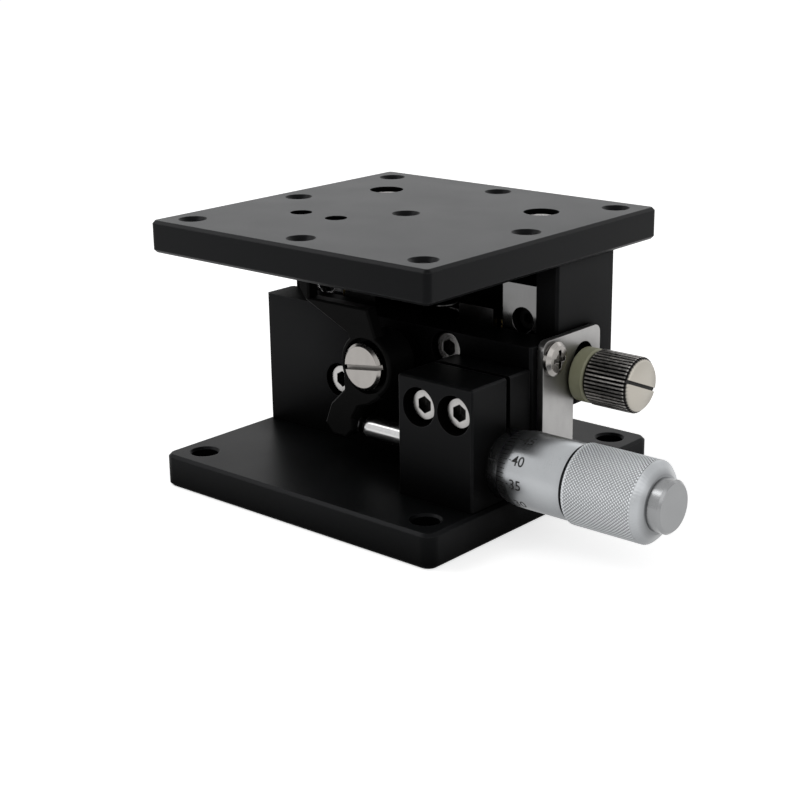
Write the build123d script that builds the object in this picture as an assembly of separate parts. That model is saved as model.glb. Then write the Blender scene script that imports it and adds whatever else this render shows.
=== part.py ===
from build123d import *
import math
import os

# Vertical translation stage, 60 mm square. A side micrometer pushes a bell-crank lever, the lever
# lifts the top plate, and two pairs of crossed-roller rails guide it straight up and down.
# The origin is the centre of the base plate's bottom face. +X runs along the micrometer towards its
# thimble, -Y is the lever's side and +Z is up. The part is modelled at the middle of its travel.

# Driving dimensions in millimetres: plates
plate_side = 60.0
base_thickness = 5.75
top_thickness = 5.4
top_face_z = 46.5
edge_chamfer = 0.5
top_corner_radius = 1.0
base_corner_radius = 2.0
mount_hole_inset = 5.0
base_hole_d = 4.5
base_hole_rim = 0.4
m4_tapping_d = 3.3
m4_mouth_d = 4.8
travel_up = 2.0

# Fixed column
column_inset = 0.5
column_front_y = -4.4
column_thickness = 6.8
column_top_z = 29.3
column_edge = 0.4
pivot_boss_d = 9.0
base_screw_inset = 6.5
base_screw_grip = 7.0

# Crossed-roller guide
roller_plane_x = 17.25
rail_face_gap = 1.3
rail_width = 7.2
guide_depth = 8.2
rail_step = 0.9
rail_length = 22.0
rail_hole_pitch = 10.0
fixed_hole_shift = 0.9
moving_hole_shift = 0.5
fixed_rail_top_z = 32.2
moving_rail_top_z = 37.0
fixed_head_sink = 0.8
moving_head_sink = 1.5
moving_screw_grip = 5.0
roller_d = 2.5
roller_length = 2.4
roller_pitch = 3.2
rollers_per_cage = 4
cage_thickness = 0.5
cage_height = 5.0
cage_end = 0.5

# Moving block
block_inset = 0.2
block_bottom_z = 17.0
web_thickness = 8.0
arm_gap = 0.3
top_screw_inset = 12.1
top_screw_grip = 7.0
top_head_sink = 0.8

# Bell-crank lever
pivot_x = 2.0
pivot_z = 23.3
lift_arm = 13.7
push_arm = 11.6
lever_front_y = -13.0
lever_thickness = 6.0
lift_arm_thickness = 2.2
lever_edge = 0.3
hub_d = 11.0
hub_recess_d = 9.5
hub_recess_depth = 1.9
bush_wall = 1.0
shoulder_extra = 1.0
pivot_head_d = 8.0
pivot_head_height = 3.0
pivot_slot_width = 0.8
pivot_slot_depth = 1.0
pivot_slot_lean = -8.0
tip_stub = 5.3
lift_arm_depth = 4.7
lift_arm_corner = 5.0
lift_heel = 1.4
tip_ball_d = 2.0
tip_width = 2.2
tip_cover = 0.5
heel_reach = 6.2
heel_height = 3.6
foot_drop = 1.8
foot_x = -1.3
foot_button_d = 3.0
foot_button_length = 2.3
contact_gap = 0.3
pad_thickness = 1.5
pad_x = -10.6
pad_length = 14.0
pad_width = 7.0
pad_corner = 0.6
pad_screw_pitch = 8.0
pad_screw_sink = 1.4

# Micrometer and its clamp bracket
bracket_width = 15.0
bracket_inset = 0.2
bracket_depth = 14.6
bracket_top_z = 25.8
bracket_edge = 0.3
bracket_screw_z = 21.1
bracket_screw_inset = 3.7
bracket_screw_pitch = 7.0
bracket_head_sink = 1.5
bracket_head_clearance = 0.9
bracket_screw_grip = 5.0
slit_width = 1.0
mic_y = -10.0
stem_d = 9.5
stem_start = 1.0
barrel_d = 11.1
barrel_recess = 1.2
spindle_d = 4.0
thimble_gap = 2.1
bevel_length = 2.1
bevel_rise = 0.35
band_length = 9.9
thimble_clearance = 0.1
thimble_wall = 0.45
groove_width = 0.5
groove_depth = 0.4
knurl_rise = 0.35
knurl_length = 12.8
knurl_edge = 0.55
thimble_face_length = 0.8
thimble_face_d = 9.2
barrel_cover = 11.6
end_cap_d = 8.3
end_cap_length = 2.25
end_cap_edge = 0.4
cap_stem_d = 5.0
cap_stem_length = 2.4

# Lock plate and thumb screw
lock_y = 8.15
lock_z = 22.5
lock_plate_thickness = 1.2
lock_plate_y = (-2.8, 12.8)
lock_plate_z = (7.3, 30.0)
lock_prong_z = 18.5
lock_slot_width = 5.2
lock_slot_top_z = 27.9
lock_plate_corner = 1.5
lock_screw_y = -0.2
lock_screw_z = (10.4, 26.9)
lock_screw_grip = 6.0
washer_d = 9.0
washer_thickness = 2.7
washer_edge = 0.3
knob_d = 9.2
knob_length = 8.6
knob_edge = 0.7
knob_slot_width = 0.6
knob_slot_depth = 0.6
knob_slot_lean = -22.0

# Return springs
spring_x = 4.2
spring_d = 5.0
spring_wire_d = 0.7
spring_turns = 7
spring_pin_d = 2.0
spring_pin_grip = 3.8
spring_hook_share = 0.9
spring_low_pin_z = 9.6
spring_pin_drop = 4.1

# Fasteners: nominal diameter, head diameter and head height
m3 = (3.0, 5.5, 3.0)
m2_cap = (2.0, 3.8, 2.0)
m3_pan = (3.0, 5.6, 1.4)
m2_low = (2.0, 3.2, 1.2)
m4_d = 4.0
socket_share = 0.48
socket_depth_share = 0.6
pan_edge_share = 0.45
pan_shoulder_share = (0.85, 0.78)
pan_crown_share = 0.4
cross_length_share = 0.55
cross_width_share = 0.13
head_clearance = 0.5
thread_clearance = 0.1
tap_runout = 0.5
running_clearance = 0.03
seat_clearance = 0.02
overcut = 1.0

# Places worked out from the sizes above
mount_pitch = plate_side / 2 - mount_hole_inset
underside_z = top_face_z - top_thickness
column_back_y = column_front_y + column_thickness
column_half = plate_side / 2 - column_inset
block_half = column_half - block_inset
groove_y = column_back_y + guide_depth / 2
web_front_y = column_back_y + guide_depth
web_back_y = web_front_y + web_thickness
fixed_face_x = roller_plane_x - rail_face_gap / 2
moving_face_x = roller_plane_x + rail_face_gap / 2
fixed_hole_x = fixed_face_x - rail_width / 2 - fixed_hole_shift
moving_hole_x = moving_face_x + rail_width / 2 + moving_hole_shift
fixed_seat_y = column_front_y + fixed_head_sink + m3[2]
moving_seat_y = column_back_y + rail_step + moving_head_sink + m2_cap[2]
arm_inner_x = moving_face_x + rail_width + seat_clearance
arm_front_y = column_back_y + arm_gap
rail_end = (rail_length - rail_hole_pitch) / 2
spring_high_pin_z = underside_z - spring_pin_drop
cage_mid_z = (fixed_rail_top_z + moving_rail_top_z - rail_length) / 2
base_screw_seat_z = m3[2] + head_clearance / 2
top_screw_seat_z = top_face_z - top_head_sink - m3[2]
mic_z = pivot_z - push_arm
tip_x = pivot_x - lift_arm
lever_back_y = lever_front_y + lever_thickness
lever_mid_y = lever_front_y + lever_thickness / 2
tip_y = lever_front_y + lift_arm_thickness / 2
pivot_seat_y = lever_front_y + hub_recess_depth
shoulder_d = m4_d + shoulder_extra
bush_d = shoulder_d + 2 * bush_wall
pad_bottom_z = underside_z - pad_thickness
pad_screw_seat_z = top_face_z - pad_screw_sink - m2_low[2]
tip_ball_z = pad_bottom_z - contact_gap - tip_ball_d / 2
spindle_tip_x = foot_x + contact_gap
bracket_right_x = column_half - bracket_inset
bracket_left_x = bracket_right_x - bracket_width
bracket_front_y = column_front_y - bracket_depth
bracket_seat_y = bracket_front_y + bracket_head_sink + m3[2]
thimble_band_d = barrel_d + 2 * (thimble_clearance + thimble_wall)
knurl_d = thimble_band_d + 2 * knurl_rise
thimble_edge_x = bracket_right_x + thimble_gap
band_start_x = thimble_edge_x + bevel_length
knurl_start_x = band_start_x + band_length + groove_width
knurl_end_x = knurl_start_x + knurl_length
thimble_end_x = knurl_end_x + thimble_face_length
barrel_end_x = thimble_edge_x + barrel_cover
spindle_end_x = thimble_end_x - cap_stem_length
end_cap_x = thimble_end_x + end_cap_length
washer_x = column_half + lock_plate_thickness + thread_clearance
knob_x = washer_x + washer_thickness + thread_clearance
both_sides = (-1, 1)

os.makedirs("parts", exist_ok=True)


def block(x, y, z):
    """A rectangular block between the ends given for each axis."""
    centre = Pos((x[0] + x[1]) / 2, (y[0] + y[1]) / 2, (z[0] + z[1]) / 2)
    return centre * Box(x[1] - x[0], y[1] - y[0], z[1] - z[0])


def rod(start, direction, length, diameter):
    """A round rod from a start point along a direction."""
    standing = Cylinder(diameter / 2, length, align=(Align.CENTER, Align.CENTER, Align.MIN))
    return Plane(origin=start, z_dir=direction) * standing


def turned(profile, start, direction):
    """A lathe part: (distance along the axis, radius) points turned about a direction."""
    points = [(radius, distance) for distance, radius in profile]
    face = make_face(Polyline(*points, close=True))
    solid = revolve(Plane.XZ * face, axis=Axis.Z)
    return Plane(origin=start, z_dir=direction) * solid


def chamfer_rims(part, size, axis):
    """Break the outer edges at both ends of a plate along an axis."""
    rims = part.faces().sort_by(axis)[0].outer_wire().edges()
    rims += part.faces().sort_by(axis)[-1].outer_wire().edges()
    return chamfer(rims, size)


def cap_screw(seat, direction, size, length):
    """Socket head cap screw: the head's underside is at the seat and the shank runs along direction."""
    nominal_d, head_d, head_height = size
    soft_edge = head_height / 8
    profile = [
        (-head_height, 0),
        (-head_height, head_d / 2 - soft_edge),
        (-head_height + soft_edge, head_d / 2),
        (0, head_d / 2),
        (0, nominal_d / 2),
        (length - soft_edge, nominal_d / 2),
        (length, nominal_d / 2 - soft_edge),
        (length, 0),
    ]
    screw = turned(profile, seat, direction)
    socket = extrude(RegularPolygon(nominal_d * socket_share, 6), amount=head_height * socket_depth_share)
    plane = Plane(origin=seat, z_dir=direction)
    return screw - plane * Pos(0, 0, -head_height) * socket


def pan_screw(seat, direction, size, length):
    """Pan head screw with a cross recess."""
    nominal_d, head_d, head_height = size
    shoulder_height, shoulder_width = pan_shoulder_share
    profile = [
        (0, 0),
        (0, head_d / 2),
        (-head_height * pan_edge_share, head_d / 2),
        (-head_height * shoulder_height, head_d / 2 * shoulder_width),
        (-head_height, head_d / 2 * pan_crown_share),
        (-head_height, 0),
    ]
    head = turned(profile, seat, direction)
    plane = Plane(origin=seat, z_dir=direction)
    arm = Box(head_d * cross_length_share, head_d * cross_width_share, head_height)
    recess = Pos(0, 0, -head_height) * (arm + Rot(0, 0, 90) * arm)
    shank = rod(seat, direction, length, nominal_d)
    return head + shank - plane * recess


def screw_bore(seat, direction, size, length, head_depth, around_head=head_clearance):
    """The cut for a screw: a clearance hole along direction and a counterbore against it."""
    nominal_d, head_d, head_height = size
    back = tuple(-part for part in direction)
    hole = rod(seat, direction, length, nominal_d + thread_clearance)
    return hole + rod(seat, back, head_depth, head_d + around_head)


def plate(thickness, bottom_z, corner_radius):
    """A square plate with rounded upright corners and broken edges."""
    outline = RectangleRounded(plate_side, plate_side, corner_radius)
    body = Pos(0, 0, bottom_z) * extrude(outline, amount=thickness)
    return chamfer_rims(body, edge_chamfer, Axis.Z)


def base_screw_places():
    """Where the screws go up through the base plate into the column."""
    middle_y = column_front_y + column_thickness / 2
    reach = column_half - base_screw_inset
    return [(x, middle_y) for x in (-reach, 0, reach)]


def make_base_plate():
    """Base plate: four clearance holes for the user, three counterbored holes for the column."""
    body = plate(base_thickness, 0, base_corner_radius)
    rim = Cone(base_hole_d / 2, base_hole_d / 2 + base_hole_rim, base_hole_rim)
    for x in both_sides:
        for y in both_sides:
            centre = Pos(x * mount_pitch, y * mount_pitch, 0)
            body -= centre * Cylinder(base_hole_d / 2, 3 * base_thickness)
            body -= centre * Pos(0, 0, base_thickness - base_hole_rim / 2) * rim
    for x, y in base_screw_places():
        body -= screw_bore((x, y, base_screw_seat_z), (0, 0, 1), m3, base_thickness, base_thickness)
    return body


def make_base_screws():
    """Screws from under the base plate into the column."""
    length = base_thickness - base_screw_seat_z + base_screw_grip
    places = base_screw_places()
    return [cap_screw((x, y, base_screw_seat_z), (0, 0, 1), m3, length) for x, y in places]


def rail_hole_heights(rail_top_z):
    """Heights of the two mounting holes of a rail."""
    return [rail_top_z - rail_end - step * rail_hole_pitch for step in (0, 1)]


def fixed_rail_screw_places():
    """Seats of the screws that pull the fixed rails against the column's back.

    The column is plain where an upper left one would be, so that rail has its lower screw only.
    """
    high, low = rail_hole_heights(fixed_rail_top_z)
    left, right = -fixed_hole_x, fixed_hole_x
    return [(x, fixed_seat_y, z) for x, z in ((left, low), (right, low), (right, high))]


def bracket_screw_places():
    """Seats of the two screws that hold the micrometer bracket and close its slit."""
    right = bracket_right_x - bracket_screw_inset
    return [(x, bracket_seat_y, bracket_screw_z) for x in (right - bracket_screw_pitch, right)]


def make_column():
    """Fixed column: an upright wall with a pivot boss, rail screw holes and tapped holes."""
    front, back = column_front_y, column_back_y
    body = block((-column_half, column_half), (front, back), (base_thickness, column_top_z))
    body = chamfer(body.edges().filter_by(Axis.Z), column_edge)
    boss_length = front - lever_back_y - 2 * seat_clearance
    body += rod((pivot_x, front, pivot_z), (0, -1, 0), boss_length, pivot_boss_d)
    for place in fixed_rail_screw_places():
        body -= screw_bore(place, (0, 1, 0), m3, column_thickness, column_thickness)
    for x, _, z in bracket_screw_places():
        depth = bracket_screw_grip + tap_runout
        body -= rod((x, front, z), (0, 1, 0), depth, m3[0] + thread_clearance)
    for x, y in base_screw_places():
        depth = base_thickness + base_screw_grip + tap_runout
        body -= rod((x, y, 0), (0, 0, 1), depth, m3[0] + thread_clearance)
    pivot_start = (pivot_x, lever_back_y - overcut, pivot_z)
    pivot_depth = back - lever_back_y + 2 * overcut
    body -= rod(pivot_start, (0, 1, 0), pivot_depth, m4_d + thread_clearance)
    for z in lock_screw_z:
        depth = lock_screw_grip - lock_plate_thickness + tap_runout
        body -= rod((column_half, lock_screw_y, z), (-1, 0, 0), depth, m3_pan[0] + thread_clearance)
    for side in both_sides:
        start = (side * spring_x, back, spring_low_pin_z)
        body -= rod(start, (0, -1, 0), spring_pin_grip + tap_runout, spring_pin_d + seat_clearance)
    return body


def make_fixed_rail_screws():
    """Screws through the column into the fixed rails."""
    length = web_front_y - rail_step - tap_runout - fixed_seat_y
    return [cap_screw(place, (0, 1, 0), m3, length) for place in fixed_rail_screw_places()]


def rail(face_x, outer_x, y, top_z):
    """A ground rail with a 90 degree roller groove in the face at face_x."""
    groove = roller_d / math.sqrt(2) - rail_face_gap / 2
    inward = math.copysign(groove, outer_x - face_x)
    outline = Polyline(
        (face_x, y[0]),
        (face_x, groove_y - groove),
        (face_x + inward, groove_y),
        (face_x, groove_y + groove),
        (face_x, y[1]),
        (outer_x, y[1]),
        (outer_x, y[0]),
        close=True,
    )
    bar = extrude(make_face(outline), amount=rail_length, dir=(0, 0, 1))
    return Pos(0, 0, top_z - rail_length) * bar


def make_fixed_rails():
    """The two inner rails on the back of the column, tapped for the screws from its front."""
    y = (column_back_y, web_front_y - rail_step)
    right = rail(fixed_face_x, fixed_face_x - rail_width, y, fixed_rail_top_z)
    for z in rail_hole_heights(fixed_rail_top_z):
        start = (fixed_hole_x, column_back_y - overcut, z)
        right -= rod(start, (0, 1, 0), guide_depth + 2 * overcut, m3[0] + thread_clearance)
    return [right, mirror(right, about=Plane.YZ)]


def moving_rail_screw_places():
    """Seats of the screws that hold the moving rails against the block's web."""
    heights = rail_hole_heights(moving_rail_top_z)
    return [(side * moving_hole_x, moving_seat_y, z) for side in both_sides for z in heights]


def make_moving_rails():
    """The two outer rails on the web of the moving block, counterbored from the front."""
    y = (column_back_y + rail_step, web_front_y)
    rails = []
    for side in both_sides:
        bar = rail(side * moving_face_x, side * (moving_face_x + rail_width), y, moving_rail_top_z)
        for place in moving_rail_screw_places():
            if place[0] * side > 0:
                bar -= screw_bore(place, (0, 1, 0), m2_cap, guide_depth, guide_depth)
        rails.append(bar)
    return rails


def make_moving_rail_screws():
    """Screws through the moving rails into the block's web."""
    length = web_front_y - moving_seat_y + moving_screw_grip
    return [cap_screw(place, (0, 1, 0), m2_cap, length) for place in moving_rail_screw_places()]


def roller_heights():
    """Heights of the rollers in a cage."""
    first = -(rollers_per_cage - 1) / 2
    return [cage_mid_z + (first + step) * roller_pitch for step in range(rollers_per_cage)]


def make_rollers():
    """Rollers between the grooves, each turned a quarter against its neighbour."""
    rollers = []
    for side in both_sides:
        for number, z in enumerate(roller_heights()):
            lean = 1 if number % 2 == 0 else -1
            axis = (1, lean, 0)
            body = Cylinder(roller_d / 2 - running_clearance, roller_length)
            rollers.append(Plane(origin=(side * roller_plane_x, groove_y, z), z_dir=axis) * body)
    return rollers


def make_cages():
    """Flat brass strips between the rails, with a window round each roller."""
    length = (rollers_per_cage - 1) * roller_pitch + roller_d + 2 * cage_end
    window = roller_d + 2 * running_clearance
    cages = []
    for side in both_sides:
        x = side * roller_plane_x
        strip = Pos(x, groove_y, cage_mid_z) * Box(cage_thickness, cage_height, length)
        for z in roller_heights():
            opening = Box(cage_thickness * 2, roller_d * math.sqrt(2) + cage_thickness, window)
            strip -= Pos(x, groove_y, z) * opening
        cages.append(strip)
    return cages


def make_moving_block():
    """Moving block: a web with two forward arms, open in front for the guide and the springs."""
    half, inner = block_half, arm_inner_x
    outline = Polyline(
        (-half, arm_front_y),
        (-inner, arm_front_y),
        (-inner, web_front_y),
        (inner, web_front_y),
        (inner, arm_front_y),
        (half, arm_front_y),
        (half, web_back_y),
        (-half, web_back_y),
        close=True,
    )
    height = underside_z - block_bottom_z
    body = Pos(0, 0, block_bottom_z) * extrude(make_face(outline), amount=height, dir=(0, 0, 1))
    ends = body.faces().sort_by(Axis.X)
    corners = ends[0].edges().filter_by(Axis.Z) + ends[-1].edges().filter_by(Axis.Z)
    body = chamfer(corners, column_edge)
    for x, _, z in moving_rail_screw_places():
        depth = moving_screw_grip + tap_runout
        body -= rod((x, web_front_y, z), (0, 1, 0), depth, m2_cap[0] + thread_clearance)
    for x, y in top_screw_places():
        depth = top_screw_grip + tap_runout
        body -= rod((x, y, underside_z), (0, 0, -1), depth, m3[0] + thread_clearance)
    start = (arm_inner_x - overcut, lock_y, lock_z)
    body -= rod(start, (1, 0, 0), block_half, m3[0] + thread_clearance)
    for side in both_sides:
        start = (side * spring_x, web_front_y, spring_high_pin_z)
        body -= rod(start, (0, 1, 0), spring_pin_grip + tap_runout, spring_pin_d + seat_clearance)
    return body


def top_screw_places():
    """Where the top plate is screwed to the moving block's web."""
    middle_y = web_front_y + web_thickness / 2
    return [(side * (block_half - top_screw_inset), middle_y) for side in both_sides]


def pad_screw_places():
    """The two small screws that hold the contact pad under the top plate."""
    return [(pad_x + side * pad_screw_pitch / 2, lever_mid_y) for side in both_sides]


def make_top_plate():
    """Top plate: nine tapped holes for the user, two block screws and two pad screws."""
    body = plate(top_thickness, underside_z, top_corner_radius)
    flare = (m4_mouth_d - m4_tapping_d) / 2
    mouth = Cone(m4_tapping_d / 2, m4_mouth_d / 2, flare)
    for x in (-1, 0, 1):
        for y in (-1, 0, 1):
            centre = Pos(x * mount_pitch, y * mount_pitch, top_face_z)
            body -= centre * Cylinder(m4_tapping_d / 2, 3 * top_thickness)
            body -= centre * Pos(0, 0, -flare / 2) * mouth
    for x, y in top_screw_places():
        body -= screw_bore((x, y, top_screw_seat_z), (0, 0, -1), m3, top_thickness, top_thickness)
    for x, y in pad_screw_places():
        body -= screw_bore((x, y, pad_screw_seat_z), (0, 0, -1), m2_low, top_thickness, top_thickness)
    return body


def make_top_screws():
    """Screws from the top plate into the moving block."""
    length = top_screw_seat_z - underside_z + top_screw_grip
    return [cap_screw((x, y, top_screw_seat_z), (0, 0, -1), m3, length) for x, y in top_screw_places()]


def make_contact_pad():
    """Hardened pad under the top plate that the lever's ball pushes on."""
    half_length, half_width = pad_length / 2, pad_width / 2
    x = (pad_x - half_length, pad_x + half_length)
    y = (lever_mid_y - half_width, lever_mid_y + half_width)
    body = block(x, y, (pad_bottom_z, underside_z))
    body = chamfer(body.edges().filter_by(Axis.Z), pad_corner)
    for x, y in pad_screw_places():
        depth = pad_thickness - tap_runout
        body -= rod((x, y, underside_z), (0, 0, -1), depth, m2_low[0] + thread_clearance)
    return body


def make_pad_screws():
    """Small screws from the top plate into the contact pad."""
    length = pad_screw_seat_z - pad_bottom_z - tap_runout - seat_clearance
    seats = [(x, y, pad_screw_seat_z) for x, y in pad_screw_places()]
    return [cap_screw(seat, (0, 0, -1), m2_low, length) for seat in seats]


def make_lever():
    """Bell-crank lever: a hub, a thin hooked lifting arm to the left and a pushing arm below.

    Each arm is an outline in X and Z that overlaps the hub's circle. The lifting arm is a blade
    flush with the hub's front.
    """
    hub_r = hub_d / 2
    left, right = tip_x - tip_width / 2, tip_x + tip_width / 2
    arm_top = tip_ball_z - tip_stub
    arm_low = arm_top - lift_arm_depth
    lift = Polyline(
        (pivot_x + hub_r - lift_heel, pivot_z),
        (pivot_x + hub_r - lift_arm_corner, arm_top),
        (right, arm_top),
        (right, tip_ball_z + tip_cover),
        (left, tip_ball_z + tip_cover),
        (left, arm_top + lift_heel),
        (left + lift_heel, arm_top - tip_cover),
        (pivot_x - hub_r + lift_heel, arm_low),
        (pivot_x - lift_heel, pivot_z),
        close=True,
    )
    heel_x = foot_x - heel_reach
    toe_low = mic_z - foot_drop
    push = Polyline(
        (pivot_x - hub_r + tip_cover, pivot_z),
        (pivot_x - hub_r + tip_cover, pivot_z - hub_r + tip_cover),
        (heel_x + lift_heel, mic_z + heel_height),
        (heel_x, mic_z),
        (heel_x + foot_drop, toe_low),
        (foot_x - lift_heel, toe_low),
        (foot_x, toe_low + lift_heel),
        (foot_x, mic_z + foot_drop),
        (foot_x + lift_heel, mic_z + foot_button_length + foot_drop),
        (pivot_x + tip_cover, mic_z + heel_height + lift_heel),
        (pivot_x + foot_button_d, pivot_z - hub_r + tip_cover),
        (pivot_x + foot_button_d, pivot_z),
        close=True,
    )
    thick = Pos(pivot_x, pivot_z) * Circle(hub_r) + make_face(push)
    front = Plane.XZ * extrude(thick + make_face(lift), amount=-lift_arm_thickness)
    front = chamfer(front.faces().sort_by(Axis.Y)[0].outer_wire().edges(), lever_edge)
    back = Plane.XZ * extrude(thick, amount=lift_arm_thickness - lever_thickness)
    body = Pos(0, lever_front_y, 0) * (front + Pos(0, lift_arm_thickness, 0) * back)
    start = (pivot_x, lever_front_y - overcut, pivot_z)
    body -= rod(start, (0, 1, 0), lever_thickness + 2 * overcut, bush_d + 2 * seat_clearance)
    body -= rod(start, (0, 1, 0), hub_recess_depth + overcut, hub_recess_d)
    body -= Pos(tip_x, tip_y, tip_ball_z) * Sphere(tip_ball_d / 2 + seat_clearance)
    pocket = foot_button_length + thread_clearance
    body -= rod((foot_x - pocket, mic_y, mic_z), (1, 0, 0), 2 * pocket, foot_button_d + 2 * seat_clearance)
    return body


def make_lever_bush():
    """Bronze bush pressed in the lever's hub."""
    start_y = pivot_seat_y + thread_clearance
    length = lever_back_y - start_y
    ring = rod((pivot_x, start_y, pivot_z), (0, 1, 0), length, bush_d)
    bore = (pivot_x, start_y - overcut, pivot_z)
    return ring - rod(bore, (0, 1, 0), length + 2 * overcut, shoulder_d + 2 * running_clearance)


def make_pivot_screw():
    """Slotted shoulder screw that the lever turns on."""
    shoulder = lever_back_y - pivot_seat_y + 2 * seat_clearance
    head_r = pivot_head_d / 2
    soft_edge = pivot_head_height / 6
    thread_end = column_back_y - tap_runout - pivot_seat_y
    profile = [
        (-pivot_head_height, 0),
        (-pivot_head_height, head_r - soft_edge),
        (-pivot_head_height + soft_edge, head_r),
        (0, head_r),
        (0, shoulder_d / 2),
        (shoulder, shoulder_d / 2),
        (shoulder, m4_d / 2),
        (thread_end, m4_d / 2),
        (thread_end, 0),
    ]
    screw = turned(profile, (pivot_x, pivot_seat_y, pivot_z), (0, 1, 0))
    slot_y = pivot_seat_y - pivot_head_height
    slot = Box(2 * pivot_head_d, 2 * pivot_slot_depth, pivot_slot_width)
    return screw - Pos(pivot_x, slot_y, pivot_z) * Rot(0, pivot_slot_lean, 0) * slot


def make_tip_ball():
    """Hard steel ball in the end of the lifting arm."""
    return Pos(tip_x, tip_y, tip_ball_z) * Sphere(tip_ball_d / 2)


def make_foot_button():
    """Hard steel button that the spindle pushes."""
    start = (foot_x - foot_button_length, mic_y, mic_z)
    return rod(start, (1, 0, 0), foot_button_length, foot_button_d)


def make_bracket():
    """Micrometer bracket: a block with a bore, a slit above it and two clamping screws."""
    left, right = bracket_left_x, bracket_right_x
    body = block((left, right), (bracket_front_y, column_front_y), (base_thickness, bracket_top_z))
    body = chamfer(body.edges().filter_by(Axis.Z).group_by(Axis.Y)[0], bracket_edge)
    body = chamfer(body.faces().sort_by(Axis.Z)[-1].outer_wire().edges(), bracket_edge)
    bore = (left - overcut, mic_y, mic_z)
    body -= rod(bore, (1, 0, 0), bracket_width + 2 * overcut, stem_d + 2 * seat_clearance)
    recess = (right - barrel_recess, mic_y, mic_z)
    body -= rod(recess, (1, 0, 0), barrel_recess + overcut, barrel_d + 2 * seat_clearance)
    slit_y = (mic_y - slit_width / 2, mic_y + slit_width / 2)
    body -= block((left - overcut, right + overcut), slit_y, (mic_z, bracket_top_z + overcut))
    for seat in bracket_screw_places():
        around = bracket_head_clearance
        body -= screw_bore(seat, (0, 1, 0), m3, bracket_depth, bracket_depth, around)
    return body


def make_bracket_screws():
    """Cap screws through the bracket and its slit into the column."""
    length = column_front_y - bracket_seat_y + bracket_screw_grip
    return [cap_screw(seat, (0, 1, 0), m3, length) for seat in bracket_screw_places()]


def make_sleeve():
    """Micrometer sleeve: a stem clamped in the bracket and a wider barrel that the thimble covers."""
    bore_r = spindle_d / 2 + running_clearance
    start = bracket_left_x + stem_start
    shoulder = bracket_right_x - barrel_recess
    profile = [
        (start, bore_r),
        (start, stem_d / 2 - washer_edge),
        (start + washer_edge, stem_d / 2),
        (shoulder, stem_d / 2),
        (shoulder, barrel_d / 2),
        (barrel_end_x, barrel_d / 2),
        (barrel_end_x, bore_r),
    ]
    return turned(profile, (0, mic_y, mic_z), (1, 0, 0))


def make_spindle():
    """Spindle with a domed tip on the lever's button."""
    radius = spindle_d / 2
    start = (spindle_tip_x + radius, mic_y, mic_z)
    body = rod(start, (1, 0, 0), spindle_end_x - spindle_tip_x - radius, spindle_d)
    return body + Pos(*start) * Sphere(radius)


def make_thimble():
    """Graduated thimble: a bevelled front edge, a smooth band for the numbers and a knurled grip."""
    band_r, grip_r = thimble_band_d / 2, knurl_d / 2
    bore_r = band_r - thimble_wall
    spindle_r = spindle_d / 2 + running_clearance
    stem_r = cap_stem_d / 2 + seat_clearance
    groove_x = knurl_start_x - groove_width
    hub_x = barrel_end_x + travel_up * lift_arm / push_arm + overcut
    profile = [
        (thimble_edge_x, bore_r),
        (thimble_edge_x, band_r - bevel_rise),
        (band_start_x, band_r),
        (groove_x, band_r),
        (groove_x, band_r - groove_depth),
        (knurl_start_x, band_r - groove_depth),
        (knurl_start_x, grip_r - knurl_edge / 2),
        (knurl_start_x + knurl_edge / 2, grip_r),
        (knurl_end_x - knurl_edge, grip_r),
        (knurl_end_x, grip_r - knurl_edge),
        (thimble_end_x, thimble_face_d / 2),
        (thimble_end_x, stem_r),
        (spindle_end_x + thread_clearance, stem_r),
        (spindle_end_x + thread_clearance, spindle_r),
        (hub_x, spindle_r),
        (hub_x, bore_r),
    ]
    return turned(profile, (0, mic_y, mic_z), (1, 0, 0))


def make_end_cap():
    """End cap screwed in the back of the thimble."""
    radius = end_cap_d / 2
    start = spindle_end_x + 2 * thread_clearance
    profile = [
        (start, 0),
        (start, cap_stem_d / 2),
        (thimble_end_x, cap_stem_d / 2),
        (thimble_end_x, radius),
        (end_cap_x - end_cap_edge, radius),
        (end_cap_x, radius - end_cap_edge),
        (end_cap_x, 0),
    ]
    return turned(profile, (0, mic_y, mic_z), (1, 0, 0))


def make_lock_plate():
    """Hook-shaped lock plate on the column's end; the thumb screw runs in its slot, open below."""
    low, high = lock_plate_z
    near, far = lock_plate_y
    slot_r = lock_slot_width / 2
    outline = Polyline(
        (near, low),
        (lock_y - slot_r, low),
        (lock_y - slot_r, lock_prong_z),
        (far, lock_prong_z),
        (far, high),
        (near, high),
        close=True,
    )
    face = make_face(outline)
    inner = face.vertices().sort_by_distance((lock_y - slot_r, lock_prong_z))[0]
    face = fillet([corner for corner in face.vertices() if corner != inner], lock_plate_corner)
    arch_z = lock_slot_top_z - slot_r
    slot_height = arch_z - low
    face -= Pos(lock_y, arch_z) * Circle(slot_r)
    face -= Pos(lock_y, arch_z - slot_height / 2) * Rectangle(lock_slot_width, slot_height)
    for z in lock_screw_z:
        face -= Pos(lock_screw_y, z) * Circle((m3_pan[0] + 2 * thread_clearance) / 2)
    return Pos(column_half, 0, 0) * (Plane.YZ * extrude(face, amount=lock_plate_thickness))


def make_lock_plate_screws():
    """Cross-recess screws that hold the lock plate on the column."""
    x = column_half + lock_plate_thickness
    seats = [(x, lock_screw_y, z) for z in lock_screw_z]
    return [pan_screw(seat, (-1, 0, 0), m3_pan, lock_screw_grip) for seat in seats]


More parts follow.
